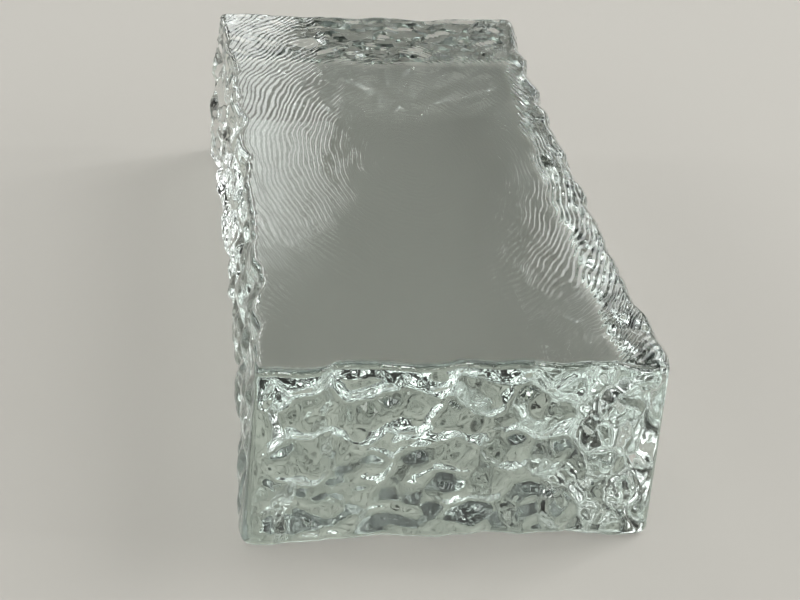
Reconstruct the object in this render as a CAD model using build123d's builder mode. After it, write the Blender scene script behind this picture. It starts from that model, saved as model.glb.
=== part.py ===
"""Solid cast glass block: two smooth flat beds and four rough-cast sides of rounded lumps."""

import os
from math import ceil, cos, pi
from typing import NamedTuple

from build123d import *

# Overall size over the upright corners at the lower bed, on which the block rests, in mm
block_length = 200.0
block_width = 100.0
block_height = 50.0

# How far each side leans in from the lower bed to the upper one, so that the block leaves its mould
mould_lean = 2.0

# How far the middle of each side lies behind its corners, where the glass shrank as it cooled
long_side_hollow = 1.6
end_hollow = 0.9

# The lumps of the rough-cast sides: depth of the deepest valleys between them
lump_depth = 2.2

# Two sets of slanting swells cross and make the lumps: pitch of each along a side, and its rise up it
first_pitch = 21.0
first_rise = 70.0
second_pitch = 29.0
second_rise = 56.0

# The sides run straight and smooth for this far from each rounded corner, and over rising_run
# after that the lumps grow to their full depth
smooth_corner_run = 8.0
rising_run = 10.0

# Softened by the fire polish: the upright corners, and the rims all round the beds
corner_radius = 3.0
rim_width = 1.2

# How closely the outlines follow the lumps along the sides and up them, and the rounded corners
points_per_pitch = 3
outline_count = 6
corner_steps = 3


class Side(NamedTuple):
    """One rough side: the way it faces, its length, its reach from the middle, its hollow, and the
    angles in radians at which the two sets of swells start in the middle of its upper edge."""

    facing: float
    length: float
    reach: float
    hollow: float
    first_start: float
    second_start: float


# In order round the block
sides = [
    Side(-90.0, block_length, block_width / 2.0, long_side_hollow, 4.7, 3.4),
    Side(0.0, block_width, block_length / 2.0, end_hollow, 2.1, 0.7),
    Side(90.0, block_length, block_width / 2.0, long_side_hollow, 3.4, 2.6),
    Side(180.0, block_width, block_length / 2.0, end_hollow, 4.8, 1.8),
]


def lump(side: Side, along: float, height: float) -> float:
    """Return how far the rough-cast skin stands at a place on a side: 0 on a crest, negative below it."""
    below = block_height - height
    first = 2.0 * pi * (along / first_pitch - below / first_rise) + side.first_start
    second = 2.0 * pi * (along / second_pitch + below / second_rise) + side.second_start
    return lump_depth * ((cos(first) + cos(second)) / 2.0 - 1.0) / 2.0


def growth(to_corner: float) -> float:
    """Return the share of their full depth that the lumps have at a distance from a rounded corner."""
    share = min(max((to_corner - smooth_corner_run) / rising_run, 0.0), 1.0)
    return share * share * (3.0 - 2.0 * share)


def outward_of(side: Side) -> Vector:
    """Return the level direction in which a side faces."""
    return Vector(1, 0).rotate(Axis.Z, side.facing)


def side_line(side: Side, height: float, inset: float) -> Edge:
    """Return the wavy line of one side at a height, drawn in by an inset, between rounded corners."""
    outward = outward_of(side)
    onward = outward.rotate(Axis.Z, 90.0)
    drawn_in = mould_lean * height / block_height + inset
    run = side.length - 2.0 * corner_radius
    rough_run = run - 2.0 * smooth_corner_run
    columns = ceil(rough_run / first_pitch * points_per_pitch)
    places = [-run / 2.0, (smooth_corner_run - run) / 2.0]
    places += [rough_run * (column / columns - 0.5) for column in range(columns + 1)]
    places += [(run - smooth_corner_run) / 2.0, run / 2.0]
    points = []
    for place in places:
        share = 2.0 * place / run
        sunk = side.hollow * (1.0 - share * share)
        relief = lump(side, place, height) * growth(run / 2.0 - abs(place))
        along = share * (run / 2.0 - drawn_in)
        points.append(onward * along + outward * (side.reach - drawn_in - sunk + relief))
    return Edge.make_spline(points, parameters=[place / run + 0.5 for place in places])


def corner_line(side: Side, start: Vector) -> Edge:
    """Return the rounding of the corner that follows a side, from the end of the side's line."""
    outward = outward_of(side)
    centre = start - outward * corner_radius
    turns = [90.0 * step / corner_steps for step in range(corner_steps + 1)]
    return Edge.make_spline([centre + outward.rotate(Axis.Z, turn) * corner_radius for turn in turns])


def outline(height: float, plane_height: float, inset: float) -> Sketch:
    """Return the outline of the sides at a height, drawn in by an inset, on a plane of its own height."""
    with BuildSketch(Plane.XY.offset(plane_height)) as section:
        with BuildLine():
            for side in sides:
                line = side_line(side, height, inset)
                add(line)
                add(corner_line(side, line @ 1))
        make_face()
    return section.sketch


with BuildPart() as glass_block:
    # The casting between its rims, from outlines at even heights
    wall_height = block_height - 2.0 * rim_width
    heights = [rim_width + wall_height * level / (outline_count - 1) for level in range(outline_count)]
    loft([outline(height, height, 0.0) for height in heights])

    # The fire-polished rims, from the ends of the wall to the two beds
    for spring, bed in ((heights[0], 0.0), (heights[-1], block_height)):
        loft([outline(spring, spring, 0.0), outline(spring, bed, rim_width)])

glass_block.part.label = "glass_block"

os.makedirs("parts", exist_ok=True)
export_step(glass_block.part, "parts/glass_block.step")
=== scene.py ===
"""Dresses the solid cast glass block: rough sides, polished rims, a rippled bed, clear glass."""

import logging
import math
from dataclasses import dataclass, field
from enum import Enum
from typing import Any, Callable

import bmesh
import bpy
from mathutils import Matrix, Vector


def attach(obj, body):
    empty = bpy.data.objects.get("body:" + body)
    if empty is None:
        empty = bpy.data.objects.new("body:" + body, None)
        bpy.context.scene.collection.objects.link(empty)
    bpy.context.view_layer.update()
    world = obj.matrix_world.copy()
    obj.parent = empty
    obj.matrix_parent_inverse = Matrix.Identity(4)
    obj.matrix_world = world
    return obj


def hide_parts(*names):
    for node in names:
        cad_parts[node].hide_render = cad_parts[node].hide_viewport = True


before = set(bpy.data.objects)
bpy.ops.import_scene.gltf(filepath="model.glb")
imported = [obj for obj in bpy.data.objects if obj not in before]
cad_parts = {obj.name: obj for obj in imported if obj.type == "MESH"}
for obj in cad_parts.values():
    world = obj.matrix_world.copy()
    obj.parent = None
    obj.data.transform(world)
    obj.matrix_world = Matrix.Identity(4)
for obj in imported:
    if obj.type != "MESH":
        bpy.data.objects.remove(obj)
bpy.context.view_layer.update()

log = logging.getLogger("glass_block")

NODE = "glass_block"
BODY = "root"
ROUGH = "rough_cast"
MM = 0.001

# The cosine between two directions above which one runs along the other
ALONG = 0.999

# Numbers of the Mix node's sockets for colours: the first, the second and the result
COLOUR_A, COLOUR_B, COLOUR_MIXED = 6, 7, 2


class Kind(Enum):
    """What an edit-mode selection is made of."""

    EDGE = "EDGE"
    FACE = "FACE"


class Bed(Enum):
    """The two polished faces that the block can lie on, and the way each one faces."""

    LOWER = -1
    UPPER = 1


class Pattern(Enum):
    """What a layer of the relief is made of: domed cells that meet in creases, or rolling waves."""

    CELLS = "VORONOI"
    WAVES = "CLOUDS"


class Shade(Enum):
    """The colours of the sky round the block."""

    HORIZON = "#6f6e6c"
    WALL = "#0a0b0b"
    PANE = "#f4f6f5"
    TOP = "#8a8a88"


# Small helpers


def linear(colour: str, alpha: float = 1.0) -> tuple[float, float, float, float]:
    """Turn an sRGB hex colour into the linear values that shaders take.

    Args:
        colour: The colour as "#rrggbb".
        alpha: The fourth value.

    Returns:
        Red, green, blue and alpha, each from 0 to 1.
    """
    parts = [int(colour[place : place + 2], 16) / 255.0 for place in (1, 3, 5)]
    red, green, blue = (
        part / 12.92 if part <= 0.04045 else ((part + 0.055) / 1.055) ** 2.4 for part in parts
    )
    return red, green, blue, alpha


def ease(value: float, start: float, end: float) -> float:
    """Rise smoothly from 0 to 1 while a value goes from start to end."""
    share = min(max((value - start) / (end - start), 0.0), 1.0)
    return share * share * (3.0 - 2.0 * share)


def add_node(
    tree: bpy.types.NodeTree,
    kind: str,
    settings: dict[str, Any] | None = None,
    links: dict[str | int, Any] | None = None,
) -> bpy.types.Node:
    """Add one shader node, set it up and wire its inputs.

    Args:
        tree: The node tree that gets the node.
        kind: The node's type name.
        settings: Properties of the node itself.
        links: Input name or number, and either the socket that feeds it or its constant value.

    Returns:
        The new node.
    """
    node = tree.nodes.new(kind)
    for name, value in (settings or {}).items():
        setattr(node, name, value)
    for name, value in (links or {}).items():
        if isinstance(value, bpy.types.NodeSocket):
            tree.links.new(value, node.inputs[name])
        else:
            node.inputs[name].default_value = value
    return node


def deselect_all() -> None:
    """Leave nothing selected, so that an operator acts on the new piece alone."""
    bpy.ops.object.select_all(action="DESELECT")


def make_active(piece: bpy.types.Object) -> None:
    """Select one piece alone, and let the operators act on it.

    Args:
        piece: The piece.
    """
    deselect_all()
    piece.select_set(True)
    bpy.context.view_layer.objects.active = piece


def edit(piece: bpy.types.Object) -> None:
    """Open a piece in edit mode."""
    make_active(piece)
    bpy.ops.object.mode_set(mode="EDIT")


def leave_edit() -> None:
    """Go back to object mode."""
    bpy.ops.object.mode_set(mode="OBJECT")


def pick(piece: bpy.types.Object, kind: Kind, wanted: Callable[[Any], bool]) -> None:
    """Select the edges or faces of a piece in edit mode that pass a test, and nothing else.

    Args:
        piece: The piece that is open in edit mode.
        kind: What is selected.
        wanted: The test, which gets each bmesh element.
    """
    bpy.ops.mesh.select_mode(type=kind.value)
    bpy.ops.mesh.select_all(action="DESELECT")
    mesh = bmesh.from_edit_mesh(piece.data)
    elements = {Kind.EDGE: mesh.edges, Kind.FACE: mesh.faces}[kind]
    for element in elements:
        if wanted(element):
            element.select_set(True)
    mesh.select_flush_mode()
    bmesh.update_edit_mesh(piece.data)


def finish_modifier(piece: bpy.types.Object, name: str, kind: str, **settings: Any) -> None:
    """Add a modifier to a piece, set it and apply it.

    Args:
        piece: The piece, in object mode.
        name: The modifier's name.
        kind: The modifier's type.
        **settings: The modifier's properties.
    """
    make_active(piece)
    modifier = piece.modifiers.new(name, kind)
    for key, value in settings.items():
        setattr(modifier, key, value)
    bpy.ops.object.modifier_apply(modifier=name)


def hang_lamp(
    name: str, kind: str, place: tuple[float, float, float], **settings: float | str
) -> None:
    """Hang one lamp that faces the block.

    Args:
        name: The lamp's name.
        kind: The lamp's type.
        place: Where it hangs, in metres.
        **settings: The lamp's properties.
    """
    data = bpy.data.lights.new(name, kind)
    for key, value in settings.items():
        setattr(data, key, value)
    lamp = bpy.data.objects.new(name, data)
    bpy.context.scene.collection.objects.link(lamp)
    lamp.location = place
    lamp.rotation_euler = Vector(place).to_track_quat("Z", "Y").to_euler()


# Finishes


@dataclass(frozen=True)
class CastGlass:
    """Low-iron soda-lime glass, poured into a mould and fire polished.

    The rings are the ripples that the upper bed keeps where the cooling glass drew away from its
    middle, and the crinkles are the finest wrinkles of the rough-cast sides.
    """

    ior: float = 1.52
    depth_colour: str = "#d4e6dc"
    depth_density: float = 5.0

    # The rings: their pitch across the block, how much wider it is along it, and their height
    ripple_pitch_mm: float = 1.3
    ripple_stretch: float = 1.75
    ripple_height_mm: float = 0.011

    # How far the rings sway from true ovals, how often a millimetre, and how finely
    sway_mm: float = 6.0
    sways_per_mm: float = 0.09
    sway_detail: float = 2.0

    crinkle_size_mm: float = 2.6
    crinkle_height_mm: float = 0.10
    crinkle_detail: float = 1.0

    # How near a bed's height the skin counts as bed
    bed_reach_mm: float = 0.05

    def build(self, block_height_mm: float) -> bpy.types.Material:
        """Make the material.

        Args:
            block_height_mm: The block's height, which tells the beds from the sides.

        Returns:
            The glass material.
        """
        material = bpy.data.materials.new("clear_soda_lime_glass_cast")
        material.use_nodes = True
        tree = material.node_tree
        tree.nodes.clear()
        place = add_node(tree, "ShaderNodeTexCoord").outputs["Object"]
        height = add_node(tree, "ShaderNodeSeparateXYZ", links={0: place}).outputs["Z"]
        normal = self._ripples(tree, place, height, block_height_mm)
        normal = self._crinkles(tree, place, height, block_height_mm, normal)

        # Fire polish leaves no roughness, so the eye sees only what the wavy skin mirrors and
        # bends into view, with hard bright glints and dark contour lines
        glass = add_node(
            tree,
            "ShaderNodeBsdfPrincipled",
            links={
                "Base Color": (1.0, 1.0, 1.0, 1.0),
                "Roughness": 0.0,
                "IOR": self.ior,
                "Transmission Weight": 1.0,
                "Normal": normal,
            },
        )

        # The little iron that is left gives a faint green, and only where light goes deep
        depth = add_node(
            tree,
            "ShaderNodeVolumeAbsorption",
            links={"Color": linear(self.depth_colour), "Density": self.depth_density},
        )
        add_node(
            tree,
            "ShaderNodeOutputMaterial",
            links={"Surface": glass.outputs["BSDF"], "Volume": depth.outputs["Volume"]},
        )
        return material

    def _ripples(
        self,
        tree: bpy.types.NodeTree,
        place: bpy.types.NodeSocket,
        height: bpy.types.NodeSocket,
        block_height_mm: float,
    ) -> bpy.types.NodeSocket:
        """Comb the upper bed with fine oval rings.

        Args:
            tree: The material's node tree.
            place: Object coordinates.
            height: Their height above the lower bed.
            block_height_mm: The block's height.

        Returns:
            The bumped normal.
        """
        flat = add_node(
            tree,
            "ShaderNodeMapping",
            links={"Vector": place, "Scale": (1.0 / (self.ripple_stretch * MM), 1.0 / MM, 0.0)},
        )
        sway = add_node(
            tree,
            "ShaderNodeTexNoise",
            links={
                "Vector": flat.outputs["Vector"],
                "Scale": self.sways_per_mm,
                "Detail": self.sway_detail,
            },
        )
        radius = add_node(
            tree, "ShaderNodeVectorMath", {"operation": "LENGTH"}, {0: flat.outputs["Vector"]}
        )
        swayed = add_node(
            tree,
            "ShaderNodeMath",
            {"operation": "MULTIPLY_ADD"},
            {0: sway.outputs["Fac"], 1: self.sway_mm, 2: radius.outputs["Value"]},
        )
        turns = add_node(
            tree,
            "ShaderNodeMath",
            {"operation": "MULTIPLY"},
            {0: swayed.outputs["Value"], 1: 2.0 * math.pi / self.ripple_pitch_mm},
        )
        rings = add_node(tree, "ShaderNodeMath", {"operation": "SINE"}, {0: turns.outputs["Value"]})
        upper = add_node(
            tree,
            "ShaderNodeMath",
            {"operation": "GREATER_THAN"},
            {0: height, 1: (block_height_mm - self.bed_reach_mm) * MM},
        )
        bump = add_node(
            tree,
            "ShaderNodeBump",
            links={
                "Strength": upper.outputs["Value"],
                "Distance": self.ripple_height_mm * MM,
                "Height": rings.outputs["Value"],
            },
        )
        return bump.outputs["Normal"]

    def _crinkles(
        self,
        tree: bpy.types.NodeTree,
        place: bpy.types.NodeSocket,
        height: bpy.types.NodeSocket,
        block_height_mm: float,
        normal: bpy.types.NodeSocket,
    ) -> bpy.types.NodeSocket:
        """Wrinkle the rough-cast sides a little finer than their mesh does.

        Args:
            tree: The material's node tree.
            place: Object coordinates.
            height: Their height above the lower bed.
            block_height_mm: The block's height.
            normal: The normal so far.

        Returns:
            The bumped normal.
        """
        wrinkle = add_node(
            tree,
            "ShaderNodeTexNoise",
            links={
                "Vector": place,
                "Scale": 1.0 / (self.crinkle_size_mm * MM),
                "Detail": self.crinkle_detail,
            },
        )
        middle = block_height_mm * MM / 2.0
        above = add_node(tree, "ShaderNodeMath", {"operation": "SUBTRACT"}, {0: height, 1: middle})
        away = add_node(
            tree, "ShaderNodeMath", {"operation": "ABSOLUTE"}, {0: above.outputs["Value"]}
        )
        side = add_node(
            tree,
            "ShaderNodeMath",
            {"operation": "LESS_THAN"},
            {0: away.outputs["Value"], 1: middle - self.bed_reach_mm * MM},
        )
        bump = add_node(
            tree,
            "ShaderNodeBump",
            links={
                "Strength": side.outputs["Value"],
                "Distance": self.crinkle_height_mm * MM,
                "Height": wrinkle.outputs["Fac"],
                "Normal": normal,
            },
        )
        return bump.outputs["Normal"]


@dataclass(frozen=True)
class PaleFloor:
    """A sheet of board with matt wall paint, rolled on."""

    colour: str = "#c2bfb8"
    roughness: float = 0.85

    def build(self) -> bpy.types.Material:
        """Make the material.

        Returns:
            The floor's material.
        """
        material = bpy.data.materials.new("matt_painted_board")
        material.use_nodes = True
        tree = material.node_tree
        tree.nodes.clear()

        # Pale and with hardly any sheen, so the eye sees the block's shadow on it and no reflection
        paint = add_node(
            tree,
            "ShaderNodeBsdfPrincipled",
            links={"Base Color": linear(self.colour), "Roughness": self.roughness},
        )
        add_node(tree, "ShaderNodeOutputMaterial", links={"Surface": paint.outputs["BSDF"]})
        return material


# The block


@dataclass(frozen=True)
class Relief:
    """One layer of the rough casting, all over the sides.

    It has its pattern and that pattern's size, how far its highest part stands out from its lowest
    (less than 0 where the pattern is turned inside out), the value of the pattern that leaves the
    wall where it is, and the pattern's own settings.
    """

    name: str
    pattern: Pattern
    size_mm: float
    height_mm: float
    middle: float
    settings: dict[str, Any]


@dataclass
class CastBlock:
    """The block in one piece: a wall wrapped on the solid, its relief, its rims and its beds."""

    length_mm: float = 200.0
    width_mm: float = 100.0
    height_mm: float = 50.0

    # Softened by the fire polish: the upright corners, and the rims all round the beds
    corner_radius_mm: float = 3.0
    corner_steps: int = 2
    rim_radius_mm: float = 1.8
    rim_steps: int = 5

    # A level margin inside each rim, with which the bed's smooth shading stays flat
    bed_margin_mm: float = 0.6

    # The wall's panels, how far the solid's sides may lie from them, and how finely they are cut
    panel_mm: float = 5.2
    wrap_reach_mm: float = 8.0
    refine_levels: int = 3

    # The relief starts at the first of these distances from an upright corner and is whole at the
    # second. At a rim it has a share of its height, and over the last distance it gains the rest
    smooth_corner_mm: float = 3.0
    full_relief_mm: float = 7.0
    rim_relief: float = 0.25
    rim_fade_mm: float = 5.0

    # How often the fire polish goes over the relief, and how much of each crease it takes
    polish_rounds: int = 4
    polish_share: float = 0.5

    layers: tuple[Relief, ...] = (
        Relief("lumps", Pattern.CELLS, 9.0, -3.6, 0.25, {"distance_metric": "DISTANCE_SQUARED"}),
        Relief("dimples", Pattern.CELLS, 5.4, 1.4, 0.25, {"distance_metric": "DISTANCE_SQUARED"}),
        Relief(
            "swell",
            Pattern.WAVES,
            11.0,
            2.6,
            0.5,
            {"noise_depth": 1, "noise_basis": "IMPROVED_PERLIN"},
        ),
        Relief(
            "crinkles",
            Pattern.WAVES,
            3.2,
            0.5,
            0.5,
            {"noise_depth": 0, "noise_basis": "IMPROVED_PERLIN"},
        ),
    )
    glass: CastGlass = field(default_factory=CastGlass)

    def build(self) -> bpy.types.Object:
        """Make the block and dress it.

        Returns:
            The finished piece.
        """
        piece = self._wall()
        self._wrap(piece)
        self._roughen(piece)
        for bed in Bed:
            self._rim(piece, bed)
        self._shade(piece)
        piece.data.materials.clear()
        piece.data.materials.append(self.glass.build(self.height_mm))
        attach(piece, BODY)
        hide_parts(NODE)
        return piece

    def _wall(self) -> bpy.types.Object:
        """Stand up the four sides as one open ring of even panels, with softened corners.

        Returns:
            The new piece.
        """
        deselect_all()
        along, across, upward = (Vector(axis) for axis in ((1, 0, 0), (0, 1, 0), (0, 0, 1)))
        wall_height = self.height_mm - 2.0 * self.rim_radius_mm
        bpy.ops.mesh.primitive_cube_add(
            size=1.0,
            location=(0.0, 0.0, self.height_mm * MM / 2.0),
            scale=(self.length_mm * MM, self.width_mm * MM, wall_height * MM),
        )
        piece = bpy.context.active_object
        piece.name = piece.data.name = "cast_glass_body"
        bpy.ops.object.transform_apply(location=True, rotation=True, scale=True)
        edit(piece)
        pick(piece, Kind.FACE, lambda face: abs(face.normal.z) > ALONG)
        bpy.ops.mesh.delete(type="ONLY_FACE")
        pick(piece, Kind.EDGE, lambda edge: self._runs_along(edge, upward))
        bpy.ops.mesh.bevel(
            offset=self.corner_radius_mm * MM, segments=self.corner_steps, affect="EDGES"
        )
        for direction, size in (
            (along, self.length_mm),
            (across, self.width_mm),
            (upward, wall_height),
        ):
            pick(piece, Kind.EDGE, lambda edge: self._runs_along(edge, direction))
            bpy.ops.mesh.subdivide(number_cuts=round(size / self.panel_mm) - 1)
        leave_edit()
        return piece

    @staticmethod
    def _runs_along(edge: bmesh.types.BMEdge, direction: Vector) -> bool:
        """Tell whether an edge runs along a direction."""
        run = (edge.verts[1].co - edge.verts[0].co).normalized()
        return abs(run.dot(direction)) > ALONG

    def _wrap(self, piece: bpy.types.Object) -> None:
        """Lay the wall on the solid's sides, with their swells and hollows, and refine it.

        Args:
            piece: The wall.
        """
        finish_modifier(
            piece,
            "lay on solid",
            "SHRINKWRAP",
            target=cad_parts[NODE],
            wrap_method="PROJECT",
            use_positive_direction=True,
            use_negative_direction=True,
            project_limit=self.wrap_reach_mm * MM,
        )
        finish_modifier(
            piece,
            "refine",
            "SUBSURF",
            levels=self.refine_levels,
            render_levels=self.refine_levels,
        )

    def _roughen(self, piece: bpy.types.Object) -> None:
        """Raise the rough-cast relief, except at the upright corners, and round its creases.

        Args:
            piece: The refined wall.
        """
        rough = piece.vertex_groups.new(name=ROUGH)
        for vertex in piece.data.vertices:
            rough.add([vertex.index], self._roughness_at(vertex.co), "REPLACE")
        for layer in self.layers:
            texture = bpy.data.textures.new(layer.name, layer.pattern.value)
            texture.noise_scale = layer.size_mm * MM
            for key, value in layer.settings.items():
                setattr(texture, key, value)
            finish_modifier(
                piece,
                layer.name,
                "DISPLACE",
                texture=texture,
                texture_coords="LOCAL",
                direction="NORMAL",
                strength=layer.height_mm * MM,
                mid_level=layer.middle,
                vertex_group=ROUGH,
            )
        finish_modifier(
            piece,
            "fire polish",
            "SMOOTH",
            factor=self.polish_share,
            iterations=self.polish_rounds,
            use_x=True,
            use_y=True,
            use_z=False,
        )

    def _roughness_at(self, place: Vector) -> float:
        """Give the share of the relief that a point of the wall gets.

        Args:
            place: The point, in metres.

        Returns:
            0 at an upright corner, up to 1 in the middle of a side.
        """
        to_end = self.length_mm * MM / 2.0 - abs(place.x)
        to_side = self.width_mm * MM / 2.0 - abs(place.y)
        from_corner = max(to_end, to_side) / MM
        from_rim = min(place.z, self.height_mm * MM - place.z) / MM
        corner = ease(from_corner, self.smooth_corner_mm, self.full_relief_mm)
        rim = ease(from_rim, 0.0, self.rim_fade_mm)
        return corner * (self.rim_relief + (1.0 - self.rim_relief) * rim)

    def _rim(self, piece: bpy.types.Object, bed: Bed) -> None:
        """Turn the wall over a rounded rim on to a flat bed, and close the bed.

        Args:
            piece: The wall.
            bed: Which bed.
        """
        middle = self.height_mm / 2.0
        spring = middle + bed.value * (middle - self.rim_radius_mm)
        edit(piece)
        pick(
            piece,
            Kind.EDGE,
            lambda edge: edge.is_boundary
            and (edge.verts[0].co.z / MM - middle) * bed.value > middle / 2.0,
        )
        self._flatten(spring)
        for step in range(1, self.rim_steps + 1):
            before, after = (
                math.pi / 2.0 * number / self.rim_steps for number in (step - 1, step)
            )
            rise = self.rim_radius_mm * (math.sin(after) - math.sin(before))
            inset = self.rim_radius_mm * (math.cos(before) - math.cos(after))
            self._turn_in(rise * bed.value, inset)
        self._turn_in(0.0, self.bed_margin_mm)
        bpy.ops.mesh.edge_face_add()
        leave_edit()

    def _turn_in(self, rise_mm: float, inset_mm: float) -> None:
        """Extrude the selected ring up or down and draw it in by the same distance on every side.

        Args:
            rise_mm: How far up.
            inset_mm: How far in.
        """
        bpy.ops.mesh.extrude_region_move(
            TRANSFORM_OT_translate={"value": (0.0, 0.0, rise_mm * MM)}
        )
        bpy.ops.transform.resize(
            value=(
                1.0 - 2.0 * inset_mm / self.length_mm,
                1.0 - 2.0 * inset_mm / self.width_mm,
                1.0,
            ),
            center_override=(0.0, 0.0, 0.0),
        )

    def _flatten(self, height_mm: float) -> None:
        """Bring what is selected to one height."""
        bpy.ops.transform.resize(
            value=(1.0, 1.0, 0.0), center_override=(0.0, 0.0, height_mm * MM)
        )

    def _shade(self, piece: bpy.types.Object) -> None:
        """Face everything outwards and shade it smooth.

        Args:
            piece: The closed block.
        """
        edit(piece)
        bpy.ops.mesh.select_all(action="SELECT")
        bpy.ops.mesh.normals_make_consistent(inside=False)
        leave_edit()
        bpy.ops.object.shade_smooth()


# Surroundings


@dataclass(frozen=True)
class SoftBox:
    """One strip of light that faces the block: its place, its size and its power in watts."""

    name: str
    place: tuple[float, float, float]
    width: float
    height: float
    power: float

    def build(self) -> None:
        """Hang the lamp."""
        hang_lamp(
            self.name,
            "AREA",
            self.place,
            shape="RECTANGLE",
            size=self.width,
            size_y=self.height,
            energy=self.power,
        )


@dataclass(frozen=True)
class FarLamp:
    """One wide lamp, so far off that it lights the whole floor evenly.

    It has the place that it shines from, how wide it looks from the block in degrees, and the
    light that it gives, in watts on a square metre that faces it.
    """

    name: str
    place: tuple[float, float, float]
    width_degrees: float
    light: float

    def build(self) -> None:
        """Hang the lamp."""
        angle = math.radians(self.width_degrees)
        hang_lamp(self.name, "SUN", self.place, angle=angle, energy=self.light)


@dataclass(frozen=True)
class Sky:
    """The world round the block: a pale horizon, dim walls with tall bright panes, and a soft top.

    Each stop is the sine of an angle above the horizon and the colour there, up a stretch of bare
    wall or up a pane.
    """

    wall_stops: tuple[tuple[float, Shade], ...] = (
        (0.0, Shade.HORIZON),
        (0.24, Shade.HORIZON),
        (0.27, Shade.WALL),
        (0.89, Shade.WALL),
        (0.92, Shade.TOP),
    )
    pane_stops: tuple[tuple[float, Shade], ...] = (
        (0.0, Shade.HORIZON),
        (0.24, Shade.HORIZON),
        (0.26, Shade.WALL),
        (0.28, Shade.PANE),
        (0.53, Shade.PANE),
        (0.56, Shade.WALL),
        (0.89, Shade.WALL),
        (0.92, Shade.TOP),
    )
    strength: float = 3.7

    # The panes stand where a wave round the block, with its number and its start, is high. What is
    # added to the wave makes the panes that face the ends narrow and those that face the sides wide
    panes: int = 20
    wave_start: float = 2.55
    end_width: float = -0.7
    side_width: float = 0.1
    soft_edge: float = 0.1

    # Over these sines of the bearing from the block's length, the ends give way to the sides
    end_bearing: float = 0.55
    side_bearing: float = 0.65

    def build(self) -> None:
        """Make the world and put it round the scene."""
        world = bpy.data.worlds.new("soft_daylight")
        bpy.context.scene.world = world
        world.use_nodes = True
        tree = world.node_tree
        tree.nodes.clear()
        direction = add_node(tree, "ShaderNodeTexCoord").outputs["Generated"]
        parts = add_node(tree, "ShaderNodeSeparateXYZ", links={0: direction})
        upright = []
        for stops in (self.wall_stops, self.pane_stops):
            ramp = add_node(tree, "ShaderNodeValToRGB", links={"Fac": parts.outputs["Z"]})
            bands = ramp.color_ramp.elements
            while len(bands) < len(stops):
                bands.new(stops[-1][0])
            for band, (height, shade) in zip(bands, stops):
                band.position = height
                band.color = linear(shade.value)
            upright.append(ramp.outputs["Color"])
        wall, pane = upright
        colour = add_node(
            tree,
            "ShaderNodeMix",
            {"data_type": "RGBA"},
            {"Factor": self._pane_share(tree, parts), COLOUR_A: wall, COLOUR_B: pane},
        )
        light = add_node(
            tree,
            "ShaderNodeBackground",
            links={"Color": colour.outputs[COLOUR_MIXED], "Strength": self.strength},
        )
        add_node(tree, "ShaderNodeOutputWorld", links={"Surface": light.outputs["Background"]})

    def _pane_share(
        self, tree: bpy.types.NodeTree, parts: bpy.types.Node
    ) -> bpy.types.NodeSocket:
        """Tell the panes from the bare wall, all round the block.

        Args:
            tree: The world's node tree.
            parts: The node that splits a direction of the world into X, Y and Z.

        Returns:
            1 in a pane and 0 on bare wall.
        """
        bearing = add_node(
            tree,
            "ShaderNodeMath",
            {"operation": "ARCTAN2"},
            {0: parts.outputs["Y"], 1: parts.outputs["X"]},
        )
        sine = add_node(
            tree, "ShaderNodeMath", {"operation": "SINE"}, {0: bearing.outputs["Value"]}
        )
        beside = add_node(
            tree, "ShaderNodeMath", {"operation": "ABSOLUTE"}, {0: sine.outputs["Value"]}
        )
        width = add_node(
            tree,
            "ShaderNodeMapRange",
            links={
                "Value": beside.outputs["Value"],
                "From Min": self.end_bearing,
                "From Max": self.side_bearing,
                "To Min": self.end_width,
                "To Max": self.side_width,
            },
        )
        turns = add_node(
            tree,
            "ShaderNodeMath",
            {"operation": "MULTIPLY_ADD"},
            {0: bearing.outputs["Value"], 1: float(self.panes), 2: self.wave_start},
        )
        wave = add_node(tree, "ShaderNodeMath", {"operation": "SINE"}, {0: turns.outputs["Value"]})
        level = add_node(
            tree,
            "ShaderNodeMath",
            {"operation": "ADD"},
            {0: width.outputs["Result"], 1: wave.outputs["Value"]},
        )
        share = add_node(
            tree,
            "ShaderNodeMapRange",
            links={
                "Value": level.outputs["Value"],
                "From Min": -self.soft_edge,
                "From Max": self.soft_edge,
            },
        )
        return share.outputs["Result"]


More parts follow.
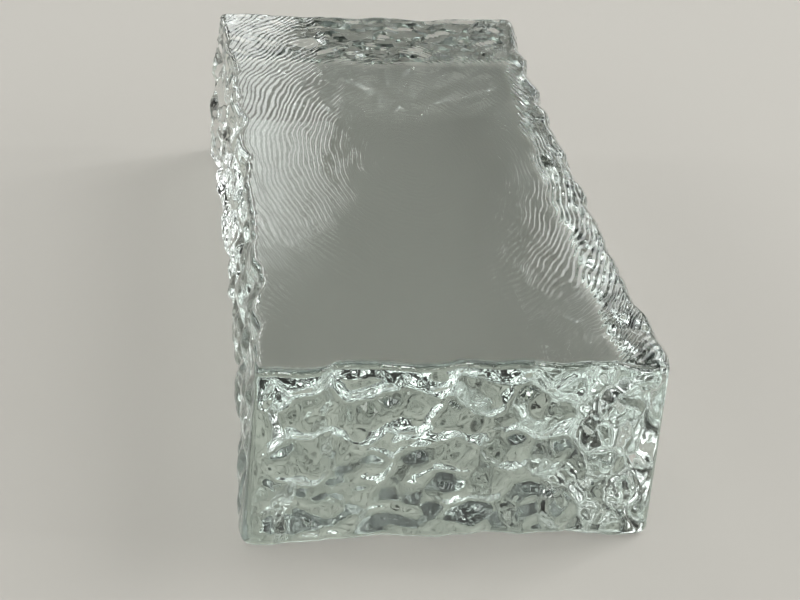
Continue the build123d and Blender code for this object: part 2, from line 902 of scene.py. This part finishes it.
@dataclass
class Studio:
    """A level floor, two far lamps from above, strips of light beside the block, and the sky."""

    floor_size_m: float = 14.0
    floor_gap_mm: float = 0.4
    floor: PaleFloor = field(default_factory=PaleFloor)
    sky: Sky = field(default_factory=Sky)
    lamps: tuple[SoftBox | FarLamp, ...] = (
        FarLamp("key", (-0.85, 0.20, 0.85), 12.0, 0.80),
        FarLamp("overhead", (0.30, -0.80, 1.05), 22.0, 0.65),
        SoftBox("window_near", (-0.25, -1.15, 0.60), 0.07, 0.9, 1.6),
        SoftBox("window_middle", (0.10, -1.15, 0.60), 0.07, 0.9, 1.6),
        SoftBox("window_far", (0.45, -1.10, 0.60), 0.07, 0.9, 1.6),
        SoftBox("back_strip", (1.15, 0.35, 0.75), 0.07, 0.8, 1.4),
        SoftBox("left_strip", (0.20, 1.10, 0.60), 0.07, 0.8, 1.2),
    )

    def build(self) -> None:
        """Lay the floor, hang the lamps and put up the sky."""
        self._lay_floor()
        for lamp in self.lamps:
            lamp.build()
        self.sky.build()

    def _lay_floor(self) -> None:
        """Lay the floor just under the block, so that glass and floor never share a plane."""
        deselect_all()
        bpy.ops.mesh.primitive_plane_add(
            size=self.floor_size_m, location=(0.0, 0.0, -self.floor_gap_mm * MM)
        )
        plane = bpy.context.active_object
        plane.name = "studio_floor"
        plane.data.materials.append(self.floor.build())


@dataclass
class View:
    """The camera: near one end of the block, above it and a little to its left."""

    place_mm: tuple[float, float, float] = (-383.32, 71.02, 258.00)
    right: tuple[float, float, float] = (-0.13318704, -0.98781444, 0.08052229)
    up: tuple[float, float, float] = (0.55196484, -0.00645026, 0.83384244)
    back: tuple[float, float, float] = (-0.82316221, 0.15550248, 0.54609793)
    lens_mm: float = 72.207
    sensor_mm: float = 36.0
    nearest_m: float = 0.01
    farthest_m: float = 50.0

    def build(self) -> None:
        """Set the camera up."""
        data = bpy.data.cameras.new("view")
        data.sensor_width = self.sensor_mm
        data.lens = self.lens_mm
        data.clip_start = self.nearest_m
        data.clip_end = self.farthest_m
        camera = bpy.data.objects.new("view", data)
        bpy.context.scene.collection.objects.link(camera)
        turn = Matrix((self.right, self.up, self.back)).transposed().to_4x4()
        camera.matrix_world = Matrix.Translation(Vector(self.place_mm) * MM) @ turn
        bpy.context.scene.camera = camera


def main() -> None:
    """Build the camera, the studio and the block."""
    logging.basicConfig(level=logging.INFO, format="%(name)s: %(message)s")
    bpy.context.scene.view_settings.view_transform = "Standard"
    View().build()
    Studio().build()
    block = CastBlock().build()
    log.info(
        "%s: %d faces, %.1f x %.1f x %.1f mm",
        block.name,
        len(block.data.polygons),
        *(size / MM for size in block.dimensions),
    )


if __name__ == "__main__":
    main()
